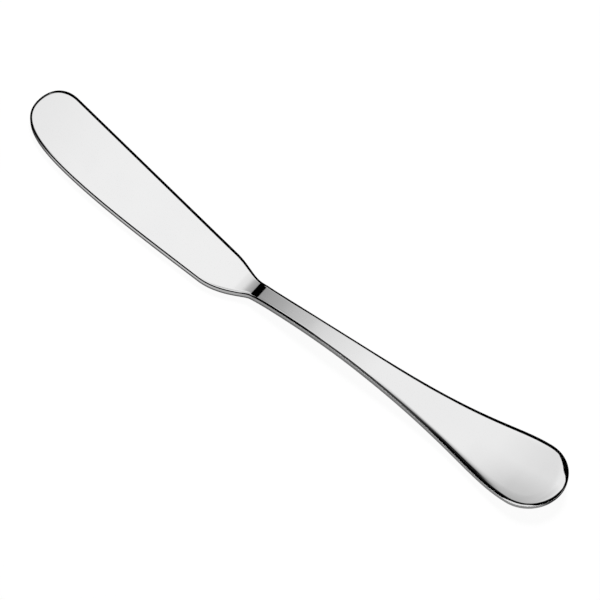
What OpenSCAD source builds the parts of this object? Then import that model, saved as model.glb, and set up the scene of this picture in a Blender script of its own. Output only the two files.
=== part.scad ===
// Butter knife of polished steel: a broad blade with a round tip, a narrow neck, and an arched handle
// that flares to a round end. The blade's round tang sits in a blind socket in the handle's neck, and
// the two shoulders meet face to face. The knife lies on a table at z = 0 with its upper face up.
// The handle runs along +X from the shoulder, and the blade runs the other way, turned a little to +Y.

/* [Blade] */
// Length from the shoulder to the tip, along the blade's own line
blade_l = 78.2; // [64:0.1:100]
// Thickness of the blade
blade_t = 2.3; // [1.8:0.05:3.2]
// Angle in plan between the blade's line and the handle's line
blade_turn = 6.8; // [0:0.1:12]
// Distance from the blade's line to the spine, where the round of the tip starts
tip_spine_w = 7.8; // [6:0.1:10]
// Length of the tip's round on the spine side
tip_spine_l = 7.1; // [5:0.1:10]
// Distance from the blade's line to the belly, where the round of the tip starts
tip_belly_w = 9; // [7:0.1:11]
// Length of the tip's round on the belly side
tip_belly_l = 15.8; // [11:0.1:20]
// Slope of the belly towards the blade's line, where the round of the tip starts
tip_belly_turn = 5.4; // [0:0.1:10]
// Distance from the blade's line to the furthest place of the tip, towards the spine
tip_off = 1.2; // [0:0.1:2]
// Distance from the blade's line to the spine, where the spine runs out into the neck
heel_spine_w = 4.2; // [3:0.1:6]
// Length over which the spine runs out into the neck
heel_spine_l = 10.4; // [8:0.1:15]
// Distance from the blade's line to the belly at the heel
heel_belly_w = 7.8; // [6:0.1:10]
// Length over which the heel runs in to the neck
heel_belly_l = 12.5; // [9:0.1:18]
// Slope of the belly away from the blade's line, at the heel
heel_belly_turn = 3.7; // [0:0.1:8]
// Width of the rolled upper edge along the spine
spine_edge_w = 1.2; // [0.6:0.05:1.6]
// Width of the rolled upper edge along the belly
belly_edge_w = 0.5; // [0.3:0.05:1.2]

/* [Neck] */
// Width of the neck behind the shoulder, at its narrowest
neck_w = 4.6; // [3.8:0.1:6]
// Length behind the shoulder over which the sides run in to the narrowest place
neck_in_l = 6; // [4:0.5:9]
// Extra width on each side at the shoulder
shoulder_extra_w = 0.18; // [0:0.02:0.4]
// Thickness of the neck behind the step in its upper face
neck_t = 2.5; // [2.4:0.05:3.4]
// Angle at which the neck climbs away from the blade
neck_rise = 6; // [3:0.1:9]
// Length over which the blade bends up to the shoulder
bend_l = 6; // [3:0.1:8]
// Length of the step in the upper face, behind the shoulder
step_l = 2.1; // [1.2:0.1:3]
// Width of the rolled upper edge at the neck
neck_edge_w = 0.85; // [0.5:0.05:1.2]

/* [Handle] */
// Length from the shoulder to the end
handle_l = 92.7; // [78:0.1:115]
// Width of the handle at its widest
handle_w = 18.8; // [14:0.1:24]
// Thickness of the handle at its end
end_t = 2.75; // [2.4:0.05:4]
// Length of the round end, from the widest place
end_l = 9.6; // [7:0.1:13]
// Height of the underside over the table at the crest of the arch
crest_h = 1.85; // [1:0.05:3]
// Height of the underside over the table at the end
end_lift = 2.1; // [0.5:0.05:4]
// Angle at which the handle climbs at its end
end_rise = 5.5; // [2:0.1:10]
// Width of the rolled upper edge on the handle's flare
flare_edge_w = 1.2; // [0.8:0.05:2]
// Width of the rolled upper edge at the handle's end
end_edge_w = 3; // [1.6:0.05:4]

/* [Edges] */
// Height of the rolled upper edge on the blade and the neck
edge_h = 0.5; // [0.3:0.05:0.8]
// Height of the rolled upper edge at the handle's end
end_edge_h = 0.8; // [0.4:0.05:1.2]
// Radius of the lower edge on the blade and the neck
under_r = 0.35; // [0.2:0.05:0.6]
// Radius of the lower edge at the handle's end
end_under_r = 1.1; // [0.5:0.05:1.3]

/* [Tang] */
// Diameter of the tang
tang_d = 1.4; // [1:0.05:1.5]
// Length of the tang behind the shoulder
tang_l = 8; // [5:0.5:11]
// Length of the tang's root inside the blade
tang_root_l = 1.5; // [1:0.1:2]
// Gap all round the tang, filled with braze
tang_fit = 0.05; // [0.02:0.01:0.1]
// Gap between the tang's tip and the bottom of the socket
tang_end_gap = 0.4; // [0.2:0.1:1]

/* [Hidden] */

// Where the handle's arch stands highest and where it comes down to the table, along its length
crest_share = 0.28;
foot_share = 0.74;
// Where the rolled upper edge starts to widen, along the handle
flare_edge_share = 0.6;
// Where the radius of the lower edge starts to grow, along the handle
under_share = 0.4;
// How far each end's direction is held along a curve, as a share of the curve's own length
flare_shares = [0.72, 0.175];
round_share = 0.64;
belly_share = 0.28;
spine_out_shares = [0.25, 0.38];
heel_in_shares = [0.15, 0.51];
// Room that a cut runs past a face
overrun = 0.5;
// Stations along one curve of an outline, and steps round a rolled edge
curve_n = 14;
neck_n = 6;
flare_n = 32;
edge_n = 5;
under_n = 3;
$fn = 48;

neck_half = neck_w / 2;
shoulder_half = neck_half + shoulder_extra_w;
neck_slope = tan(neck_rise);
// The bend starts level and ends at the neck's slope, so it climbs at half that slope on average
shoulder_lift = bend_l * neck_slope / 2;
shoulder_mid = shoulder_lift + blade_t / 2;

// Heights of the underside along X, each with its slope: the flat blade, bend, crest, foot and lifted end
under_path = [
    [-blade_l, 0, 0],
    [-bend_l, 0, 0],
    [0, shoulder_lift, neck_slope],
    [crest_share * handle_l, crest_h, 0],
    [foot_share * handle_l, 0, 0],
    [handle_l, end_lift, tan(end_rise)]
];
// Thickness along X: the blade's, a step behind the shoulder, then slowly thicker to the end
swell = (end_t - neck_t) / (handle_l - step_l);
thick_path = [
    [-blade_l, blade_t, 0],
    [0, blade_t, 0],
    [step_l, neck_t, swell],
    [handle_l, end_t, swell]
];
// Width of the rolled upper edge along X, on the spine's side and on the belly's, and its height
handle_edge_path = [
    [0, neck_edge_w],
    [flare_edge_share * handle_l, flare_edge_w],
    [handle_l, end_edge_w]
];
spine_edge_path = concat([[-heel_belly_l, spine_edge_w]], handle_edge_path);
belly_edge_path = concat([[-heel_belly_l, belly_edge_w]], handle_edge_path);
edge_h_path = [[0, edge_h], [handle_l, end_edge_h]];
// Radius of the lower edge along X
under_r_path = [[under_share * handle_l, under_r], [handle_l, end_under_r]];

function unit(v) = v / norm(v);
function heading(a) = [cos(a), sin(a)];

// Point at t on the curve from a to d that leaves towards b and arrives from c
function bend_at(a, b, c, d, t) =
    a * pow(1 - t, 3) + 3 * b * t * pow(1 - t, 2) + 3 * c * t * t * (1 - t) + d * pow(t, 3);

// Points on that curve, without its last one
function bend_run(a, b, c, d, n) = [for (i = [0 : n - 1]) bend_at(a, b, c, d, i / n)];

// Value at x on a smooth path through places with given slopes
function path_at(x, path, i = 0) =
    i + 2 < len(path) && x > path[i + 1][0] ? path_at(x, path, i + 1) : join_at(x, path[i], path[i + 1]);

// Value at x on the cubic that joins two places with their slopes
function join_at(x, a, b) =
    let (run = b[0] - a[0], t = (x - a[0]) / run, drop = a[1] - b[1])
    a[1] + run * a[2] * t
    - (3 * drop + run * (2 * a[2] + b[2])) * t * t
    + (2 * drop + run * (a[2] + b[2])) * pow(t, 3);

function under_z(x) = path_at(x, under_path);
function upper_z(x) = under_z(x) + path_at(x, thick_path);

// Handle in plan, from the shoulder along one side to the end: a short run-in to the neck, a long flare
// and a quarter of a round
flare_l = handle_l - end_l - neck_in_l;
function handle_side(s) = concat(
    [
        for (i = [0 : neck_n - 1])
        let (t = i / neck_n)
        [neck_in_l * t, s * (neck_half + shoulder_extra_w * pow(1 - t, 2))]
    ],
    bend_run(
        [neck_in_l, s * neck_half],
        [neck_in_l + flare_shares[0] * flare_l, s * neck_half],
        [neck_in_l + (1 - flare_shares[1]) * flare_l, s * handle_w / 2],
        [neck_in_l + flare_l, s * handle_w / 2],
        flare_n
    ),
    [
        for (i = [0 : curve_n])
        let (a = i * 90 / curve_n)
        [neck_in_l + flare_l + end_l * sin(a), s * handle_w / 2 * cos(a)]
    ]
);

// Blade in plan, on its own line: u runs from the shoulder to the tip, and v towards the spine
along = [-cos(blade_turn), sin(blade_turn)];
across = [sin(blade_turn), cos(blade_turn)];
function to_blade(p) = [p * along, p * across];
function to_plan(p) = p[0] * along + p[1] * across;

// The run-in behind the shoulder starts at twice its average slope, and the blade's sides carry that on
shoulder_heading = unit([neck_in_l, 2 * shoulder_extra_w]);
spine_start = to_blade([-shoulder_heading[0], shoulder_heading[1]]);
belly_start = to_blade([-shoulder_heading[0], -shoulder_heading[1]]);
tip = [blade_l, tip_off];

neck_spine = to_blade([0, shoulder_half]);
heel_spine = [heel_spine_l, heel_spine_w];
tip_spine = [blade_l - tip_spine_l, tip_spine_w];
spine_heading = unit(tip_spine - heel_spine);
spine_side = concat(
    bend_run(
        neck_spine,
        neck_spine + spine_out_shares[0] * heel_spine_l * spine_start,
        heel_spine - spine_out_shares[1] * heel_spine_l * spine_heading,
        heel_spine,
        curve_n
    ),
    [for (i = [0 : curve_n - 1]) heel_spine + (tip_spine - heel_spine) * i / curve_n],
    bend_run(
        tip_spine,
        tip_spine + round_share * tip_spine_l * spine_heading,
        tip + [0, round_share * (tip_spine_w - tip_off)],
        tip,
        curve_n
    ),
    [tip]
);

neck_belly = to_blade([0, -shoulder_half]);
heel_belly = [heel_belly_l, -heel_belly_w];
tip_belly = [blade_l - tip_belly_l, -tip_belly_w];
heel_heading = heading(-heel_belly_turn);
belly_heading = heading(tip_belly_turn);
belly_pull = belly_share * (tip_belly[0] - heel_belly[0]);
belly_side = concat(
    bend_run(
        neck_belly,
        neck_belly + heel_in_shares[0] * heel_belly_l * belly_start,
        heel_belly - heel_in_shares[1] * heel_belly_l * heel_heading,
        heel_belly,
        curve_n
    ),
    bend_run(
        heel_belly,
        heel_belly + belly_pull * heel_heading,
        tip_belly - belly_pull * belly_heading,
        tip_belly,
        curve_n
    ),
    bend_run(
        tip_belly,
        tip_belly + round_share * tip_belly_l * belly_heading,
        tip - [0, round_share * (tip_belly_w + tip_off)],
        tip,
        curve_n
    ),
    [tip]
);

blade_out = [for (p = spine_side) to_plan(p)];
blade_back = [for (p = belly_side) to_plan(p)];
handle_out = handle_side(-1);
handle_back = handle_side(1);

// Middle of the whole knife in plan, which becomes the origin
plan = concat(blade_out, blade_back, handle_out, handle_back);
middle_x = (max([for (p = plan) p[0]]) + min([for (p = plan) p[0]])) / 2;
middle_y = (max([for (p = plan) p[1]]) + min([for (p = plan) p[1]])) / 2;

// Inward direction at place i of an open outline that starts and ends on the shoulder
function inward(loop, i) =
    let (last = len(loop) - 1)
    i == 0 ? unit(loop[last] - loop[0]) :
    i == last ? unit(loop[0] - loop[last]) :
    let (t = unit(loop[i + 1] - loop[i - 1])) [-t[1], t[0]];

// Width of the rolled upper edge where the inward direction is n: it changes over round the tip
function edge_w(p, n) =
    let (spine_w = lookup(p[0], spine_edge_path), belly_w = lookup(p[0], belly_edge_path))
    spine_w + (belly_w - spine_w) * (1 + n[1]) / 2;

// Point of the rolled upper edge at angle a: 0 on the upper face, 90 on the side
function upper_edge(p, n, a) =
    let (q = p + n * edge_w(p, n) * (1 - sin(a)))
    [q[0], q[1], upper_z(q[0]) - lookup(p[0], edge_h_path) * (1 - cos(a))];

// Point of the lower edge at angle a: 90 on the side, 0 on the underside
function lower_edge(p, n, a) =
    let (r = lookup(p[0], under_r_path), q = p + n * r * (1 - sin(a)))
    [q[0], q[1], under_z(q[0]) + r * (1 - cos(a))];

// Closed slab with rolled edges. Its outline goes out along one side, round the tip and back along the
// other, and its open end is a flat face on the shoulder. The last point of both sides is the tip.
module slab(out_side, back_side) {
    n = len(out_side);
    loop = concat(out_side, [for (i = [n - 2 : -1 : 0]) back_side[i]]);
    m = len(loop);
    rings = edge_n + under_n + 2;
    inwards = [for (i = [0 : m - 1]) inward(loop, i)];
    points = concat(
        [for (j = [0 : edge_n], i = [0 : m - 1]) upper_edge(loop[i], inwards[i], j * 90 / edge_n)],
        [for (j = [under_n : -1 : 0], i = [0 : m - 1]) lower_edge(loop[i], inwards[i], j * 90 / under_n)]
    );
    under = (rings - 1) * m;
    sides = [
        for (j = [0 : rings - 2], i = [0 : m - 2])
        let (a = j * m + i, b = a + m)
        each [[a, a + 1, b], [a + 1, b + 1, b]]
    ];
    faces_across = [
        for (i = [0 : n - 2])
        let (a = i, b = m - 1 - i)
        each a + 1 == b - 1 ? [[a, b, a + 1]] : [[a, b, a + 1], [a + 1, b, b - 1]]
    ];
    faces_under = [for (f = faces_across) [f[0] + under, f[2] + under, f[1] + under]];
    shoulder = concat([for (j = [0 : rings - 1]) j * m], [for (j = [rings - 1 : -1 : 0]) j * m + m - 1]);
    polyhedron(points, concat(sides, faces_across, faces_under, [shoulder]));
}

// Round bar on the neck's own line, from a place behind the shoulder to a place in front of it
module neck_bar(d, from, to) {
    translate([0, 0, shoulder_mid])
        rotate([0, 90 - neck_rise, 0])
            translate([0, 0, from])
                cylinder(d = d, h = to - from);
}

// Spreading blade with its tang
module blade() {
    color("gainsboro")
        translate([-middle_x, -middle_y, 0])
            union() {
                slab(blade_out, blade_back);
                neck_bar(tang_d, -tang_root_l, tang_l);
            }
}

// Arched handle with the socket for the tang
module handle() {
    color("silver")
        translate([-middle_x, -middle_y, 0])
            difference() {
                slab(handle_out, handle_back);
                neck_bar(tang_d + 2 * tang_fit, -overrun, tang_l + tang_end_gap);
            }
}

blade();
handle();
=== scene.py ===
from math import cos, radians, sin, tan

import bmesh
import bpy
import numpy as np
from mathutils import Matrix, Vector


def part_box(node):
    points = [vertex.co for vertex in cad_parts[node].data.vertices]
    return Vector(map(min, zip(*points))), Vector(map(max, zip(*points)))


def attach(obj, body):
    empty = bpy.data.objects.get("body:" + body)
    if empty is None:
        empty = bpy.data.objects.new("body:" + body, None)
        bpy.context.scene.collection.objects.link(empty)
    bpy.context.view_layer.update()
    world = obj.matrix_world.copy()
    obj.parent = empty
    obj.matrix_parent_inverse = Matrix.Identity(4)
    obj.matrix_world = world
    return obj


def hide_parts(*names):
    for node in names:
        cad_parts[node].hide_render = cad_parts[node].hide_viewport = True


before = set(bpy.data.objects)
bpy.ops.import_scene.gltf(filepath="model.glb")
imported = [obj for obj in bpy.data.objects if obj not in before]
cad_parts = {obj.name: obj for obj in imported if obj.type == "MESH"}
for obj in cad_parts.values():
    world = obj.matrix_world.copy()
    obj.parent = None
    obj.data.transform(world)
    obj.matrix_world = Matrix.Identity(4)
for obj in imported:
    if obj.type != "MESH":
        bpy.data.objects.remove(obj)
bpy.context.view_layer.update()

# Camera
# A long lens high over the table, standing off the round end of the handle, so that the knife lies
# across the picture from corner to corner. Lengths in this file are in millimetres until MM is applied.
MM = 0.001
camera_turn, camera_rise = radians(38), radians(60)
camera_distance, sensor_width, focal_length = 1000, 36, 244.62
camera_aim = np.array([2.396, 1.387, 0.790])
camera_back = np.array([
    sin(camera_turn) * cos(camera_rise), -cos(camera_turn) * cos(camera_rise), sin(camera_rise)
])


def put(name, data):
    """A new object in the scene, at the origin."""
    thing = bpy.data.objects.new(name, data)
    bpy.context.scene.collection.objects.link(thing)
    return thing


def turn_to(thing, heading):
    """Turns a camera or a lamp, which look along their own -Z, to look along a heading."""
    thing.rotation_mode = "QUATERNION"
    thing.rotation_quaternion = Vector(heading).to_track_quat("-Z", "Y")


long_lens = bpy.data.cameras.new("long_lens")
long_lens.sensor_width, long_lens.lens = sensor_width, focal_length
camera = put("camera", long_lens)
camera.location = (camera_aim + camera_distance * camera_back) * MM
turn_to(camera, -camera_back)
bpy.context.scene.camera = camera
bpy.context.scene.view_settings.view_transform = "Standard"

# Blade
# The broad, round-tipped spreading blade, stamped from stainless strip, with its edges rolled over and
# its faces polished to a mirror. It bends up to a shoulder at the neck, and a round tang behind the
# shoulder is brazed into the handle.
blade_length, blade_thick, blade_turn = 78.2, 2.3, radians(6.8)
tip_spine_width, tip_spine_length, tip_off = 7.8, 7.1, 1.2
tip_belly_width, tip_belly_length, tip_belly_turn = 9.0, 15.8, radians(5.4)
heel_spine_width, heel_spine_length = 4.2, 10.4
heel_belly_width, heel_belly_length, heel_belly_turn = 7.8, 12.5, radians(3.7)
tang_radius, tang_length = 0.7, 8

# The neck and the handle, because the heights of both faces run on from the blade's
shoulder_width, neck_width, neck_length = 4.96, 4.6, 6
neck_thick, neck_rise, bend_length, step_length = 2.5, radians(6), 6, 2.1
shoulder_lift = bend_length * tan(neck_rise) / 2
shoulder_middle = shoulder_lift + blade_thick / 2
handle_length, handle_width, end_thick = 92.7, 18.8, 2.75
crest_place, crest_height = 0.28 * handle_length, 1.85
rest_place, end_lift, end_rise = 0.74 * handle_length, 2.1, radians(5.5)

# The edges: width and height of the rolled upper edge, and radius of the lower one
spine_roll, belly_roll, neck_roll = 1.2, 0.5, 0.85
flare_place, flare_roll, end_roll = 0.6 * handle_length, 1.2, 3.0
roll_height, end_roll_height = 0.5, 0.8
lower_round, lower_round_place, end_lower_round = 0.35, 0.4 * handle_length, 1.1
outline_inset = 0.025

# The CAD frame is the shoulder's frame moved in plan: the handle's round end and widest place show how far
handle_low, handle_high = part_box("handle")
plan_shift = np.array([handle_high[0] / MM - handle_length, handle_low[1] / MM + handle_width / 2])


def curve(a, b, c, d, t):
    """Cubic curve from a to d that leaves towards b and arrives from c, at shares t of its run."""
    t = t[:, None]
    return a * (1 - t) ** 3 + 3 * b * t * (1 - t) ** 2 + 3 * c * t * t * (1 - t) + d * t ** 3


def through(x, knots):
    """Height at x on the smooth line through places (x, height, slope): one cubic between each two."""
    place, height, slope = np.transpose(knots)
    i = np.clip(np.searchsorted(place, x) - 1, 0, len(place) - 2)
    run = place[i + 1] - place[i]
    t = (x - place[i]) / run
    drop = height[i] - height[i + 1]
    bow = run * (slope[i] + slope[i + 1])
    return (height[i] + run * slope[i] * t
            - (3 * drop + bow + run * slope[i]) * t ** 2 + (2 * drop + bow) * t ** 3)


def under_face(x):
    """Height of the underside: level under the blade, bent up at the neck, then the arch of the handle."""
    return through(x, [
        (-blade_length, 0, 0), (-bend_length, 0, 0), (0, shoulder_lift, tan(neck_rise)),
        (crest_place, crest_height, 0), (rest_place, 0, 0), (handle_length, end_lift, tan(end_rise)),
    ])


def upper_face(x):
    """Height of the upper face: the underside plus a thickness that steps up behind the shoulder."""
    swell = (end_thick - neck_thick) / (handle_length - step_length)
    return under_face(x) + through(x, [
        (-blade_length, blade_thick, 0), (0, blade_thick, 0),
        (step_length, neck_thick, swell), (handle_length, end_thick, swell),
    ])


def inwards(loop):
    """Unit directions square to an open outline, towards its inside; the two ends point at each other."""
    along = np.empty_like(loop)
    along[1:-1] = loop[2:] - loop[:-2]
    along[1:-1] /= np.linalg.norm(along[1:-1], axis=1)[:, None]
    inside = np.stack([-along[:, 1], along[:, 0]], axis=1)
    inside[0] = loop[-1] - loop[0]
    inside[-1] = -inside[0]
    inside[[0, -1]] /= np.linalg.norm(inside[0])
    return inside


def rolled_side(edge, inside):
    """Rings of one side from the upper face over the rolled edge, down the wall and round the lower edge.

    At angle a the upper ring lies width * (1 - sin a) inside the outline and height * (1 - cos a) below
    the upper face, and the lower ring does the same with one small radius above the underside."""
    roll_steps, lower_steps = 16, 6
    edge = edge + outline_inset * inside
    x = edge[:, 0]
    places = [-heel_belly_length, 0, flare_place, handle_length]
    spine_width = np.interp(x, places, [spine_roll, neck_roll, flare_roll, end_roll])
    belly_width = np.interp(x, places, [belly_roll, neck_roll, flare_roll, end_roll])
    width = spine_width + (belly_width - spine_width) * (1 + inside[:, 1]) / 2
    height = np.interp(x, [0, handle_length], [roll_height, end_roll_height])
    radius = np.interp(x, [lower_round_place, handle_length], [lower_round, end_lower_round])
    upper_turn = np.linspace(0, np.pi / 2, roll_steps + 1)[:, None]
    lower_turn = np.linspace(np.pi / 2, 0, lower_steps + 1)[:, None]
    upper = edge + (width * (1 - np.sin(upper_turn)))[..., None] * inside
    lower = edge + (radius * (1 - np.sin(lower_turn)))[..., None] * inside
    upper_z = upper_face(upper[..., 0]) - height * (1 - np.cos(upper_turn))
    lower_z = under_face(lower[..., 0]) + radius * (1 - np.cos(lower_turn))
    return np.concatenate([np.dstack([upper, upper_z]), np.dstack([lower, lower_z])])


def across(start, end, face):
    """Rings between two rings, closer together near both, laid on a face whose height follows x."""
    face_steps = 14
    share = (1 - np.cos(np.linspace(0, np.pi, face_steps + 1)[1:-1, None, None])) / 2
    plan = (1 - share) * start[None, :, :2] + share * end[None, :, :2]
    return np.dstack([plan, face(plan[..., 0])])


def slab(name, out, back, bar_radius, bar_length):
    """Closed mesh: a section carried from the shoulder to the tip, and a round bar behind the shoulder.

    The section goes across the upper face, down one rolled side, across the underside and up the other.
    The bar's rings have as many points as the section, each in the direction of its own point."""
    same_place, no_length, sharp_angle = 1e-8, 1e-9, radians(40)
    inside = inwards(np.concatenate([out, back[-2::-1]]))
    out_side = rolled_side(out, inside[:len(out)])
    back_side = rolled_side(back, inside[:len(out) - 2:-1])
    upper = across(out_side[0], back_side[0], upper_face)
    lower = across(back_side[-1], out_side[-1], under_face)
    section = np.concatenate([out_side[:1], upper, back_side, lower, out_side[:0:-1]])
    on_side = np.repeat([0, 1, 0, 1], [1 + len(upper), len(back_side), len(lower), len(out_side) - 1])
    rings = section.transpose(1, 0, 2)

    turn = np.arctan2(rings[0, :, 2] - shoulder_middle, rings[0, :, 1])
    root = np.stack([np.zeros_like(turn), bar_radius * np.cos(turn),
                     shoulder_middle + bar_radius * np.sin(turn) / cos(neck_rise)], axis=1)
    axis = np.array([cos(neck_rise), 0, sin(neck_rise)])
    end_centre = np.array([0, 0, shoulder_middle]) + bar_length * axis
    end = end_centre + bar_radius * np.stack([
        -sin(neck_rise) * np.sin(turn), np.cos(turn), cos(neck_rise) * np.sin(turn)
    ], axis=1)
    bar = [np.broadcast_to(end_centre, end.shape), end, root]
    rings = np.concatenate([bar, rings])

    count, around = rings.shape[:2]
    index = np.arange(count * around).reshape(count, around)
    following = np.roll(index, -1, axis=1)
    faces = np.stack([index[:-1], index[1:], following[1:], following[:-1]], axis=-1).reshape(-1, 4)
    points = rings.reshape(-1, 3) + np.append(plan_shift, 0)
    mesh = bpy.data.meshes.new(name)
    mesh.from_pydata(points * MM, [], faces)
    roll = np.zeros((count, around), np.float32)
    roll[len(bar):] = on_side
    mesh.attributes.new("edge_roll", "FLOAT", "POINT").data.foreach_set("value", roll.ravel())

    closed = bmesh.new()
    closed.from_mesh(mesh)
    bmesh.ops.remove_doubles(closed, verts=closed.verts, dist=same_place)
    bmesh.ops.dissolve_degenerate(closed, edges=closed.edges, dist=no_length)
    closed.to_mesh(mesh)
    closed.free()
    mesh.shade_smooth()
    mesh.set_sharp_from_angle(angle=sharp_angle)
    return put(name, mesh)


class Wire:
    """An output of a node tree. Sums on wires and numbers add Math nodes to the tree."""

    def __init__(self, tree, socket=None):
        self.tree, self.socket = tree, socket

    def add(self, kind, settings=None, sockets=None, out=0):
        """Adds a node: its settings first, then the values or links of its sockets. Gives one output."""
        node = self.tree.nodes.new(kind)
        for name, value in (settings or {}).items():
            if name == "stops":
                elements = node.color_ramp.elements
                elements.remove(elements[1])
                for i, (place, level) in enumerate(value):
                    element = elements.new(place) if i else elements[0]
                    element.position, element.color = place, (level, level, level, 1)
            else:
                setattr(node, name, value)
        for name, value in (sockets or {}).items():
            if isinstance(value, Wire):
                self.tree.links.new(value.socket, node.inputs[name])
            else:
                node.inputs[name].default_value = value
        return Wire(self.tree, node.outputs[out] if node.outputs else None)

    def outputs(self):
        """Every output of the node that this wire comes from, in the node's order."""
        return [Wire(self.tree, socket) for socket in self.socket.node.outputs]

    def math(self, operation, first, second):
        """A Math node on two wires or numbers."""
        return self.add("ShaderNodeMath", {"operation": operation}, {0: first, 1: second})

    def __add__(self, other):
        return self.math("ADD", self, other)

    def __sub__(self, other):
        return self.math("SUBTRACT", self, other)

    def __rsub__(self, other):
        return self.math("SUBTRACT", other, self)

    def __mul__(self, other):
        return self.math("MULTIPLY", self, other)

    __radd__, __rmul__ = __add__, __mul__


def blank(owner):
    """An emptied node tree of a material or a world, as a wire that nodes can be added from."""
    owner.use_nodes = True
    owner.node_tree.nodes.clear()
    return Wire(owner.node_tree)


def ramp(value, *stops):
    """Level that follows a wire through places (value, level), held beyond the first and the last."""
    low, high = stops[0][0], stops[-1][0]
    return value.add("ShaderNodeValToRGB", {
        "stops": [((place - low) / (high - low), level) for place, level in stops],
    }, {"Fac": (value - low) * (1 / (high - low))})


def polished_steel(name, turn, clean, wiped):
    """Mirror steel: hairlines along the piece's own line, faint wiping marks, a slow wave in the polish."""
    hairline_scale, wiping_scale, wave_scale = (30, 4000, 4000), 70, 55
    polish, hairline_haze, smear_haze, roll_haze = 0.03, 0.04, 0.03, 0.02
    wave_height, wiped_blue, hairline_share = 4e-6, 0.004, 0.5
    material = bpy.data.materials.new(name)
    start = blank(material)
    place = start.add("ShaderNodeTexCoord", out="Object")
    lengthwise = start.add("ShaderNodeMapping", {}, {
        "Vector": place, "Rotation": (0, 0, turn), "Scale": hairline_scale,
    })
    hairline = start.add("ShaderNodeTexNoise", {}, {"Vector": lengthwise, "Scale": 1, "Detail": 3})
    smears = start.add("ShaderNodeTexNoise", {}, {
        "Vector": place, "Scale": wiping_scale, "Detail": 4, "Distortion": 0.6,
    })
    wave = start.add("ShaderNodeTexNoise", {}, {"Vector": place, "Scale": wave_scale, "Detail": 1})
    roll = start.add("ShaderNodeAttribute", {"attribute_name": "edge_roll"}, out="Fac")
    smear = ramp(smears, (0.45, 0), (0.75, 1))
    colour = start.add("ShaderNodeMix", {"data_type": "RGBA"}, {
        0: (1 - hairline_share) * smear + hairline_share * hairline,
        6: (clean, clean, clean, 1),
        7: (wiped, wiped, wiped + wiped_blue, 1),
    }, out=2)
    steel = start.add("ShaderNodeBsdfPrincipled", {}, {
        "Base Color": colour,
        "Metallic": 1,
        "Roughness": polish + hairline_haze * hairline + smear_haze * smear + roll_haze * roll,
        "Normal": start.add("ShaderNodeBump", {}, {"Height": wave, "Strength": 1, "Distance": wave_height}),
    })
    start.add("ShaderNodeOutputMaterial", {}, {"Surface": steel})
    return material


# Shares of a run at which its points lie, crowded towards the neck on the heel's
round_steps, middle_steps, crowding = 90, 60, 1.5
heel_run = np.linspace(0, 1, round_steps + 1)[:-1] ** crowding
middle_run = np.linspace(0, 1, middle_steps + 1)[:-1]
tip_run = np.linspace(0, 1, round_steps + 1)

# From the blade's own line, u towards the tip and v towards the spine, to plan
to_plan = np.array([[-cos(blade_turn), sin(blade_turn)], [sin(blade_turn), cos(blade_turn)]])
run_in = np.array([neck_length, shoulder_width - neck_width])
run_in /= np.hypot(*run_in)
tip, tip_pull = np.array([blade_length, tip_off]), 0.64

neck_spine, spine_neck_pull = to_plan @ [0, shoulder_width / 2], 0.25 * heel_spine_length
heel_spine, spine_heel_pull = np.array([heel_spine_length, heel_spine_width]), 0.38 * heel_spine_length
tip_spine = np.array([blade_length - tip_spine_length, tip_spine_width])
spine_heading = (tip_spine - heel_spine) / np.linalg.norm(tip_spine - heel_spine)
spine = np.concatenate([
    curve(neck_spine, neck_spine + spine_neck_pull * (to_plan @ [-run_in[0], run_in[1]]),
          heel_spine - spine_heel_pull * spine_heading, heel_spine, heel_run),
    heel_spine + (tip_spine - heel_spine) * middle_run[:, None],
    curve(tip_spine, tip_spine + tip_pull * tip_spine_length * spine_heading,
          tip + [0, tip_pull * (tip_spine_width - tip_off)], tip, tip_run),
])
neck_belly, belly_neck_pull = to_plan @ [0, -shoulder_width / 2], 0.15 * heel_belly_length
heel_belly, belly_heel_pull = np.array([heel_belly_length, -heel_belly_width]), 0.51 * heel_belly_length
tip_belly = np.array([blade_length - tip_belly_length, -tip_belly_width])
heel_heading = np.array([cos(heel_belly_turn), -sin(heel_belly_turn)])
tip_heading = np.array([cos(tip_belly_turn), sin(tip_belly_turn)])
belly_pull = 0.28 * (tip_belly[0] - heel_belly[0])
belly = np.concatenate([
    curve(neck_belly, neck_belly + belly_neck_pull * (to_plan @ [-run_in[0], -run_in[1]]),
          heel_belly - belly_heel_pull * heel_heading, heel_belly, heel_run),
    curve(heel_belly, heel_belly + belly_pull * heel_heading,
          tip_belly - belly_pull * tip_heading, tip_belly, middle_run),
    curve(tip_belly, tip_belly + tip_pull * tip_belly_length * tip_heading,
          tip - [0, tip_pull * (tip_belly_width + tip_off)], tip, tip_run),
])
blade = slab("blade_polished", spine @ to_plan, belly @ to_plan, tang_radius, tang_length)
blade.data.materials.append(polished_steel("blade_steel", blade_turn, clean=0.865, wiped=0.845))
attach(blade, "root")
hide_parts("blade")

# Handle
# The solid handle, forged from stainless bar with a low arch and a flare to a round end, then rolled at
# its edges and polished. A blind hole in its neck takes the blade's tang.
end_length = 9.6
flare_start, flare_end = neck_length, handle_length - end_length
straight_share, wide_share = 0.72, 0.825
tang_fit, tang_end_gap = 0.05, 0.4


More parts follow.
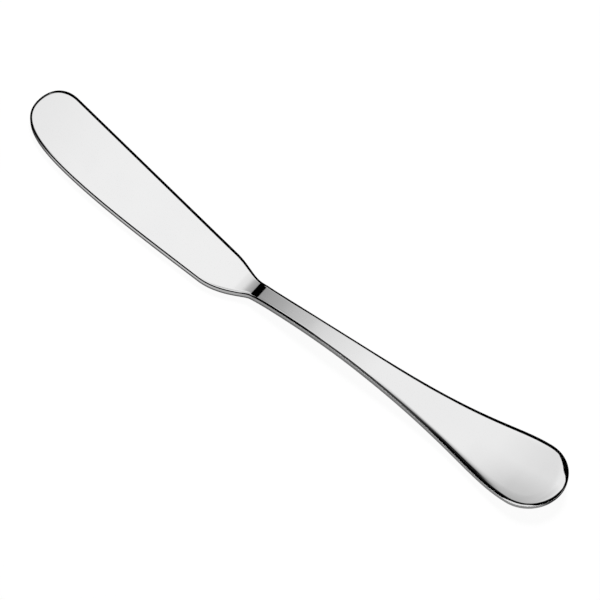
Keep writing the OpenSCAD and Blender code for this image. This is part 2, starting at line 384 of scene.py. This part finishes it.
def handle_side(hand):
    """One side in plan: a parabola in to the neck, a cubic flare, and a quarter of an ellipse.

    The flare leaves the neck towards the straight share of its length, and arrives at the full width
    from the wide share of it."""
    run_in_steps, flare_steps, end_steps = 40, 200, 90
    shoulder, neck, wide = hand * shoulder_width / 2, hand * neck_width / 2, hand * handle_width / 2
    flare_length = flare_end - flare_start
    share = np.linspace(0, 1, run_in_steps + 1)[:-1]
    run_in = np.stack([neck_length * share, neck + (shoulder - neck) * (1 - share) ** 2], axis=1)
    flare = curve(
        np.array([flare_start, neck]), np.array([flare_start + straight_share * flare_length, neck]),
        np.array([flare_start + wide_share * flare_length, wide]), np.array([flare_end, wide]),
        np.linspace(0, 1, flare_steps + 1)[:-1] ** crowding,
    )
    turn = np.linspace(0, np.pi / 2, end_steps + 1)
    end = np.stack([flare_end + end_length * np.sin(turn), wide * np.cos(turn)], axis=1)
    return np.concatenate([run_in, flare, end])


handle = slab("handle_polished", handle_side(-1), handle_side(1), tang_radius + tang_fit,
              tang_length + tang_end_gap)
handle.data.materials.append(polished_steel("handle_steel", 0, clean=0.84, wiped=0.82))
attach(handle, "root")
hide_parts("handle")

# Floor
# A plain white table top, wide enough to fill every view, a hair below the knife's underside. The camera
# sees it as white paper that keeps a faint shadow, and the polish mirrors it a little darker.
floor_half, floor_drop = 3000, 0.05
camera_white, mirror_white, paint_white = 0.95, 0.15, 0.9
floor_mesh = bpy.data.meshes.new("table_top")
floor_mesh.from_pydata(
    np.array([[-1, -1, 0], [1, -1, 0], [1, 1, 0], [-1, 1, 0]]) * floor_half * MM - [0, 0, floor_drop * MM],
    [], [(0, 1, 2, 3)],
)
floor = put("table_top", floor_mesh)
table_white = bpy.data.materials.new("table_white")
start = blank(table_white)
is_camera = start.add("ShaderNodeLightPath", out="Is Camera Ray")
is_glossy = start.add("ShaderNodeLightPath", out="Is Glossy Ray")
start.add("ShaderNodeOutputMaterial", {}, {"Surface": start.add("ShaderNodeMixShader", {}, {
    0: camera_white * is_camera + mirror_white * is_glossy,
    1: start.add("ShaderNodeBsdfDiffuse", {}, {"Color": (paint_white, paint_white, paint_white, 1)}),
    2: start.add("ShaderNodeEmission", {}, {"Color": (1, 1, 1, 1), "Strength": 1}),
})})
floor_mesh.materials.append(table_white)

# Edging card
# A strip of black card stood on edge close round the knife, as for polished cutlery on a white table. It
# is seen only in the polish, where it draws the dark line along each rolled edge. Along the near side of
# the handle its upper edge is feathered and its foot is dark grey.
card_stock = bpy.data.materials.new("card_stock")
start = blank(card_stock)
start.add("ShaderNodeOutputMaterial", {}, {"Surface": start.add("ShaderNodeMixShader", {}, {
    0: start.add("ShaderNodeAttribute", {"attribute_name": "cover"}, out="Fac"),
    1: start.add("ShaderNodeBsdfTransparent", {}, {"Color": (1, 1, 1, 1)}),
    2: start.add("ShaderNodeEmission", {}, {
        "Color": start.add("ShaderNodeAttribute", {"attribute_name": "tone"}, out="Fac"), "Strength": 1,
    }),
})})


def show_in_polish_only(card):
    """Hides a card from the camera and from the light on the table, so that only reflections meet it."""
    card.visible_camera = card.visible_diffuse = card.visible_shadow = card.visible_transmission = False


def sheet(name, rows, cover, tone):
    """Card, or a sheet of painted table shade, through rows of points, with a cover and a brightness at
    each.
    """
    count, length = rows.shape[:2]
    index = np.arange(count * length).reshape(count, length)
    corners = [index[:-1, :-1], index[:-1, 1:], index[1:, 1:], index[1:, :-1]]
    faces = np.stack(corners, axis=-1).reshape(-1, 4)
    mesh = bpy.data.meshes.new(name)
    mesh.from_pydata((rows.reshape(-1, 3) + np.append(plan_shift, 0)) * MM, [], faces)
    for attribute, values in (("cover", cover), ("tone", tone)):
        values = np.broadcast_to(values, (count, length)).astype(np.float32)
        mesh.attributes.new(attribute, "FLOAT", "POINT").data.foreach_set("value", values.ravel())
    mesh.materials.append(card_stock)
    card = put(name, mesh)
    show_in_polish_only(card)


def edging(name, loop, rise, depth, feather, foot):
    """A sheet on edge a little outside an outline, from a depth under the upper face to a rise over it.

    Above the rise it fades out over the feather, and it is as light as the foot at its lower edge."""
    gap, lowest = 0.4, 0.1
    plan = loop - gap * inwards(loop)
    face = upper_face(loop[:, 0])
    low = np.maximum(face - depth, lowest)
    high = np.maximum(face + rise, low)
    rows = np.stack([np.column_stack([plan, level]) for level in (low, high, high + feather)])
    black = np.zeros(len(loop))
    sheet(name, rows, np.array([[1], [1], [0]]), np.stack([black + foot, black, black]))


def bearings(loop):
    """Direction in degrees that each place of an outline faces: 0 for +Y, 90 for +X."""
    outside = -inwards(loop)
    return np.degrees(np.arctan2(outside[:, 0], outside[:, 1])) % 360


def graded(values, *stops):
    """Levels that follow an array through places (value, level), held beyond the first and the last."""
    return np.interp(values, *np.transpose(stops))


cut_edge = 0.05
blade_loop = np.concatenate([spine @ to_plan, (belly @ to_plan)[-2::-1]])
facing, along = bearings(blade_loop), blade_loop[:, 0]
near = graded(facing, (110, 0), (130, 1), (225, 1), (240, 0))
near_rise = graded(along, (-25, 1.1), (-14, 0.65), (-7, 0.5), (-2.5, 0.4), (-0.8, 1.8))
far_rise = graded(
    facing, (0, 1.85), (40, 1.85), (60, 0), (210, 0), (230, 1.1), (255, 1.2), (272, 0.6), (298, 0.4),
    (312, 1.4), (335, 1.85), (360, 1.85),
)
depth = graded(facing, (0, 2), (60, 2), (120, 0.75), (240, 0.75), (300, 2), (360, 2))
edging("edging_blade", blade_loop, far_rise + near_rise * near, depth, feather=cut_edge, foot=0)

handle_loop = np.concatenate([handle_side(-1), handle_side(1)[-2::-1]])
facing, along = bearings(handle_loop), handle_loop[:, 0]
near = graded(facing, (80, 0), (110, 1), (230, 1), (250, 0))
near_rise = graded(
    along, (15, 2.4), (22, 1), (30, 1.5), (48, 1.8), (56, 1.8), (64, 2), (76, 3), (82, 4), (84, 6), (91, 6),
    (92.5, 2),
)
far_rise = graded(
    facing, (0, 1), (14, 1), (22, 2.1), (33, 4), (40, 3.6), (48, 2.6), (56, 1.8), (64, 1.1), (80, 0.7),
    (100, 0.5), (265, 0), (275, 1), (360, 1),
) * graded(along, (10, 1.3), (16, 0.9), (34, 0.9), (42, 1.2), (50, 1.4), (65, 1.2), (80, 1.1))
near_depth = graded(along, (81.5, 0.75), (84, -0.6), (88.6, -0.6), (90.2, 0.75), (91.2, 1.1))
far_depth = graded(facing, (0, 2), (60, 2), (80, 1), (110, 1.1), (240, 0.75), (300, 2), (360, 2))
edging(
    "edging_handle", handle_loop, far_rise + near_rise * near, far_depth + (near_depth - far_depth) * near,
    feather=cut_edge + near * graded(along, (48, 0.3), (58, 2), (72, 4)),
    foot=near * graded(along, (16, 0), (24, 0.09), (50, 0.08), (60, 0)),
)

# Painted table shade
# A narrow sheet on the table all round the knife and seen only in the polish. It is painted shade of the
# table close round the knife, dark next to the outline and lighter further out, and the walls of the edges
# mirror it as their light and dark lines. It is dark at both ends.


def table_shade_sheet(name, loop, light, dark):
    """A level sheet of painted table shade along an outline, dark close to it and light further out.

    From the camera's height a place on the wall mirrors the table outside the outline, at a distance of
    its own height times the spread. The painted shade is dark out to the dark share of the wall's height,
    and it is fully light from the light share on."""
    level, tuck, reach = 0.05, 1.5, 4.0
    lower_edge, upper_edge = 0.3, 0.4
    dark_share, light_share = 0.25, 0.45
    spread = cos(camera_turn) / tan(camera_rise)
    wall_low = spread * (under_face(loop[:, 0]) + lower_edge)
    wall_high = spread * (upper_face(loop[:, 0]) - upper_edge)
    outs = [
        np.full(len(loop), -tuck), wall_low + dark_share * (wall_high - wall_low),
        wall_low + light_share * (wall_high - wall_low), wall_high, np.full(len(loop), reach),
    ]
    inside = inwards(loop)
    rows = [np.column_stack([loop - out[:, None] * inside, np.full(len(loop), level)]) for out in outs]
    sheet(name, np.stack(rows), 1, np.stack([dark, dark, light, light, light]))


# Sheets of painted table shade for the blade and the handle, which the walls of their edges mirror
along = blade_loop[:, 0]
table_shade_sheet(
    "table_shade_blade", blade_loop,
    light=graded(along, (-74, 0.02), (-70, 0.2), (-64, 0.55), (-20, 0.6), (0, 0.4)),
    dark=graded(along, (-74, 0.02), (-69, 0.12)),
)
along = handle_loop[:, 0]
table_shade_sheet(
    "table_shade_handle", handle_loop,
    light=graded(along, (0, 0.34), (70, 0.3), (91.2, 0.28), (92.2, 0.05)),
    dark=graded(along, (0, 0.16), (40, 0.2), (70, 0.24), (91.2, 0.26), (92.2, 0.05)),
)

# Overhead card
# A card hung over the knife and seen only in the polish. It is clear over most of its area, with a soft
# grey patch of painted shade over the neck, a soft dark one along the near side, and a glowing white one
# of painted light over the round end, dimmed by painted shade towards the near side.
card_height, card_left, card_right, card_near, card_far = 30, -45, 100, -45, 45
card_black = 0.004
overhead_mesh = bpy.data.meshes.new("overhead_card")
overhead_mesh.from_pydata(np.array([
    (card_left, card_near, card_height), (card_right, card_near, card_height),
    (card_right, card_far, card_height), (card_left, card_far, card_height),
]) * MM, [], [(0, 1, 2, 3)])
overhead = put("overhead_card", overhead_mesh)
show_in_polish_only(overhead)
painted_card = bpy.data.materials.new("painted_card")
start = blank(painted_card)
place = start.add("ShaderNodeSeparateXYZ", {}, {0: start.add("ShaderNodeTexCoord", out="Object")})
x, y = (output * (1 / MM) for output in place.outputs()[:2])
# Painted shade over the neck and along the near side, which the polish mirrors
neck_painted_shade = ramp(
    x, (-25, 0), (-18, 0.03), (-15, 0.1), (-11, 0.25), (-7.5, 0.305), (-2.5, 0.28), (1.5, 0.21), (9, 0.12),
    (17, 0.06), (24, 0),
) * ramp(y, (-28, 0), (-5, 1), (28, 1), (45, 0))
near_painted_shade = ramp(
    x, (-32, 0), (-24, 0.3), (-19, 0.6), (-15, 0.4), (-10, 0), (22, 0), (34, 0.55), (46, 1), (53, 1),
    (60, 0),
) * ramp(y, (-19, 0), (-16, 1), (-11, 1), (-8, 0.6), (-4, 0.3), (0, 0.12), (4, 0))
# Painted light over the round end, where the card glows, dimmed by painted shade towards the near side
end_painted_light = ramp(x, (47, 0), (54, 1), (80, 1), (95, 0)) * ramp(y, (-40, 0), (-30, 1), (30, 1), (45, 0))
end_shade = ramp(x, (52, 0), (60, 1)) * ramp(y, (-12, 0.4), (-1, 0.3), (4.5, 0.19), (10, 0))
end_level = ramp(
    x, (50, 1), (54, 0.985), (56, 0.945), (60, 0.89), (64, 0.865), (68, 0.87), (70, 0.89), (75, 0.97),
) * (1 - end_shade)
start.add("ShaderNodeOutputMaterial", {}, {"Surface": start.add("ShaderNodeMixShader", {}, {
    0: start.math("MAXIMUM", neck_painted_shade, near_painted_shade),
    1: start.add("ShaderNodeMixShader", {}, {
        0: end_painted_light,
        1: start.add("ShaderNodeBsdfTransparent", {}, {"Color": (1, 1, 1, 1)}),
        2: start.add("ShaderNodeEmission", {}, {"Color": end_level, "Strength": 1}),
    }),
    2: start.add("ShaderNodeBsdfDiffuse", {}, {"Color": (card_black, card_black, card_black, 1)}),
})})
overhead_mesh.materials.append(painted_card)

# Light
# One large soft lamp over the back of the table and an even fill. The polish mirrors a white surround
# that is a little darker towards the table, with one feathered dark card to the left of the knife.
lamp_place, lamp_size, lamp_power = Vector((-0.4, 0.75, 1.1)), 0.5, 29
soft_key = bpy.data.lights.new("soft_key", "AREA")
soft_key.shape, soft_key.size, soft_key.energy = "DISK", lamp_size, lamp_power
lamp = put("soft_key", soft_key)
lamp.location = lamp_place
turn_to(lamp, -lamp_place)
lamp.visible_glossy = False

fill, foot_slant = 0.18, 2.5
world = bpy.data.worlds.new("surround")
bpy.context.scene.world = world
start = blank(world)
heading = start.add("ShaderNodeSeparateXYZ", {}, {0: start.add("ShaderNodeTexCoord", out="Generated")})
x, y, z = heading.outputs()
card = ramp(
    0 - x, (0.36, 0), (0.37, 0.015), (0.378, 0.065), (0.39, 0.09), (0.4, 0.11), (0.418, 0.145),
    (0.43, 0.24), (0.44, 0.36), (0.447, 0.45), (0.46, 0.53), (0.475, 0.59), (0.485, 0.62), (0.5, 0.9),
    (0.51, 1), (0.79, 1), (0.84, 0),
)
card_top = ramp(y, (0.5, 1), (0.58, 0))
slanted_foot = ramp(y - foot_slant * x, (1.02, 0), (1.17, 1)) * ramp(y, (-0.4, 0), (-0.25, 1))
card_foot = start.math("MAXIMUM", ramp(y, (0.3, 0), (0.36, 1)), slanted_foot)
mirrored = ramp(z, (0, 0.7), (0.65, 1)) * (1 - card * card_top * card_foot)
is_camera = start.add("ShaderNodeLightPath", out="Is Camera Ray")
is_through = start.add("ShaderNodeLightPath", out="Is Transmission Ray")
is_glossy = start.add("ShaderNodeLightPath", out="Is Glossy Ray")
off_table = start.add("ShaderNodeLightPath", out="Diffuse Depth")
straight_from_polish = is_glossy * start.math("LESS_THAN", off_table, 0.5)
strength = fill + (is_camera + is_through) * (1 - fill) + straight_from_polish * (mirrored - fill)
surround = start.add("ShaderNodeBackground", {}, {"Color": (1, 1, 1, 1), "Strength": strength})
start.add("ShaderNodeOutputWorld", {}, {"Surface": surround})
